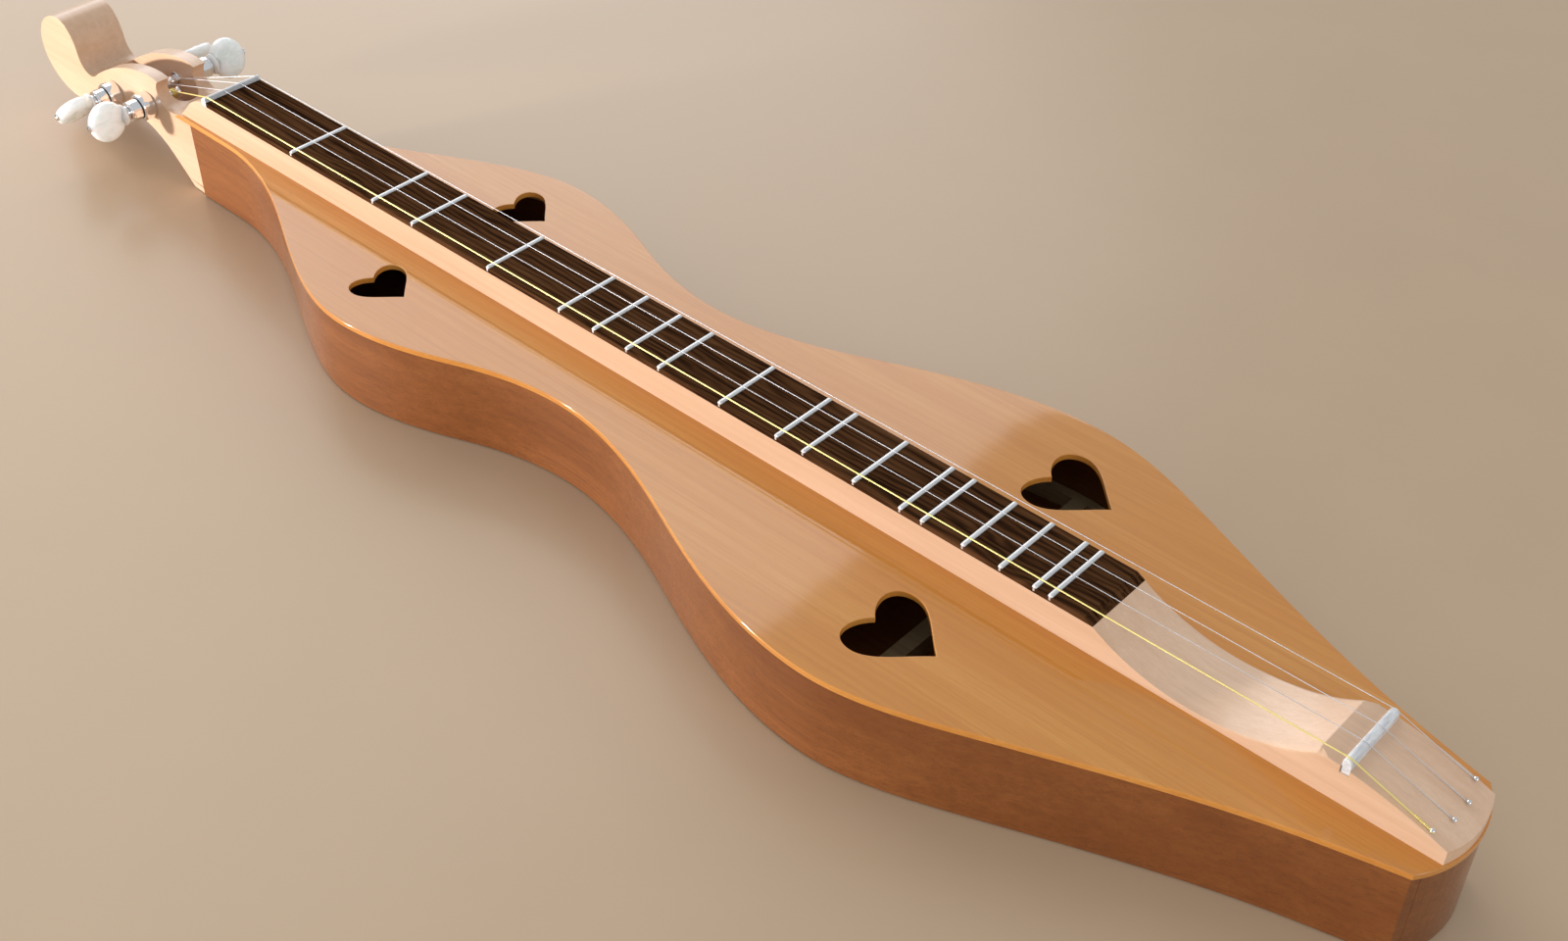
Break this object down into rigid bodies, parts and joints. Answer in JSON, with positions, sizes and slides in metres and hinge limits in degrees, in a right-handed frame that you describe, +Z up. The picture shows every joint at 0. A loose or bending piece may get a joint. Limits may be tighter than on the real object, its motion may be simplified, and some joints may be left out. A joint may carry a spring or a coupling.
{
  "type": "mountain dulcimer",
  "caption": "Long fretted lap zither with an hourglass body, heart sound holes, a raised fretboard, a strum hollow and a scrolled-over peg head with geared tuners.",
  "frame": {"origin": "middle of the instrument's overall length and width, on the plane of its back, which is the table it lies on", "axes": "+X along the strings from the peg head to the tail, +Y towards the treble side, +Z up from the back to the strings"},
  "size_m": [0.9422, 0.2054, 0.073],
  "materials": {
    "side_wood": "clear gloss lacquer over red-brown wood",
    "top_wood": "clear gloss lacquer over tan wood",
    "pale_maple": "clear gloss lacquer over pale figured maple",
    "dark_rosewood": "oiled, nearly black streaks",
    "inner_softwood": "bare sanded wood",
    "fret_wire": "polished nickel-silver wire",
    "bone_white": "satin bone-white",
    "pin_steel": "bright nickel plate",
    "wound_bronze": "fine bronze winding",
    "plain_string_steel": "plain drawn wire",
    "peg_chrome": "mirror chrome",
    "tuner_ring": "satin black ring between the two barrels of a tuner",
    "pearloid": "pearly swirled plastic"
  },
  "bodies": {
    "instrument": {"peg_head": "pale_maple", "soundboard": "top_wood", "back_plate": "side_wood", "side_bass": "side_wood", "lining_back_bass": "inner_softwood", "lining_top_bass": "inner_softwood", "side_treble": "side_wood", "lining_back_treble": "inner_softwood", "lining_top_treble": "inner_softwood", "tail_block": "side_wood", "brace_top_upper": "inner_softwood", "brace_top_lower": "inner_softwood", "brace_back_upper": "inner_softwood", "brace_back_lower": "inner_softwood", "fretboard": "pale_maple", "fretboard_overlay": "dark_rosewood", "fret_01": "fret_wire", "fret_02": "fret_wire", "fret_03": "fret_wire", "fret_04": "fret_wire", "fret_05": "fret_wire", "fret_06": "fret_wire", "fret_07": "fret_wire", "fret_08": "fret_wire", "fret_09": "fret_wire", "fret_10": "fret_wire", "fret_11": "fret_wire", "fret_12": "fret_wire", "fret_13": "fret_wire", "fret_14": "fret_wire", "fret_15": "fret_wire", "fret_16": "fret_wire", "fret_17": "fret_wire", "fret_18": "fret_wire", "nut": "bone_white", "saddle": "bone_white", "hitch_pin_1": "pin_steel", "hitch_pin_2": "pin_steel", "hitch_pin_3": "pin_steel", "hitch_pin_4": "pin_steel", "string_bass": "wound_bronze", "string_tenor": "plain_string_steel", "string_middle": "plain_string_steel", "string_treble": "plain_string_steel", "peg_housing_1": "peg_chrome", "peg_housing_2": "peg_chrome", "peg_housing_3": "peg_chrome", "peg_housing_4": "peg_chrome"},
    "tuner_button_1": {"peg_shaft_1": "peg_chrome", "peg_button_1": "pearloid"},
    "tuner_post_1": {"peg_post_1": "peg_chrome"},
    "tuner_button_2": {"peg_shaft_2": "peg_chrome", "peg_button_2": "pearloid"},
    "tuner_post_2": {"peg_post_2": "peg_chrome"},
    "tuner_button_3": {"peg_shaft_3": "peg_chrome", "peg_button_3": "pearloid"},
    "tuner_post_3": {"peg_post_3": "peg_chrome"},
    "tuner_button_4": {"peg_shaft_4": "peg_chrome", "peg_button_4": "pearloid"},
    "tuner_post_4": {"peg_post_4": "peg_chrome"}
  },
  "joints": [
    {"name": "button_1_turn", "type": "hinge", "parent": "instrument", "child": "tuner_button_1", "pos_m": [-0.3559, 0, 0.0403], "axis": [0, 1, 0], "continuous": true},
    {"name": "post_1_turn", "type": "hinge", "parent": "instrument", "child": "tuner_post_1", "pos_m": [-0.3559, 0, 0.0403], "axis": [0, 1, 0], "continuous": true},
    {"name": "button_2_turn", "type": "hinge", "parent": "instrument", "child": "tuner_button_2", "pos_m": [-0.3929, 0, 0.0333], "axis": [0, 1, 0], "continuous": true},
    {"name": "post_2_turn", "type": "hinge", "parent": "instrument", "child": "tuner_post_2", "pos_m": [-0.3929, 0, 0.0333], "axis": [0, 1, 0], "continuous": true},
    {"name": "button_3_turn", "type": "hinge", "parent": "instrument", "child": "tuner_button_3", "pos_m": [-0.3639, 0, 0.0433], "axis": [0, 1, 0], "continuous": true},
    {"name": "post_3_turn", "type": "hinge", "parent": "instrument", "child": "tuner_post_3", "pos_m": [-0.3639, 0, 0.0433], "axis": [0, 1, 0], "continuous": true},
    {"name": "button_4_turn", "type": "hinge", "parent": "instrument", "child": "tuner_button_4", "pos_m": [-0.4009, 0, 0.0328], "axis": [0, 1, 0], "continuous": true},
    {"name": "post_4_turn", "type": "hinge", "parent": "instrument", "child": "tuner_post_4", "pos_m": [-0.4009, 0, 0.0328], "axis": [0, 1, 0], "continuous": true}
  ],
  "couplings": [
    {"joint": "post_1_turn", "follows": "button_1_turn", "ratio": 0.25},
    {"joint": "post_2_turn", "follows": "button_2_turn", "ratio": 0.25},
    {"joint": "post_3_turn", "follows": "button_3_turn", "ratio": 0.25},
    {"joint": "post_4_turn", "follows": "button_4_turn", "ratio": 0.25}
  ]
}
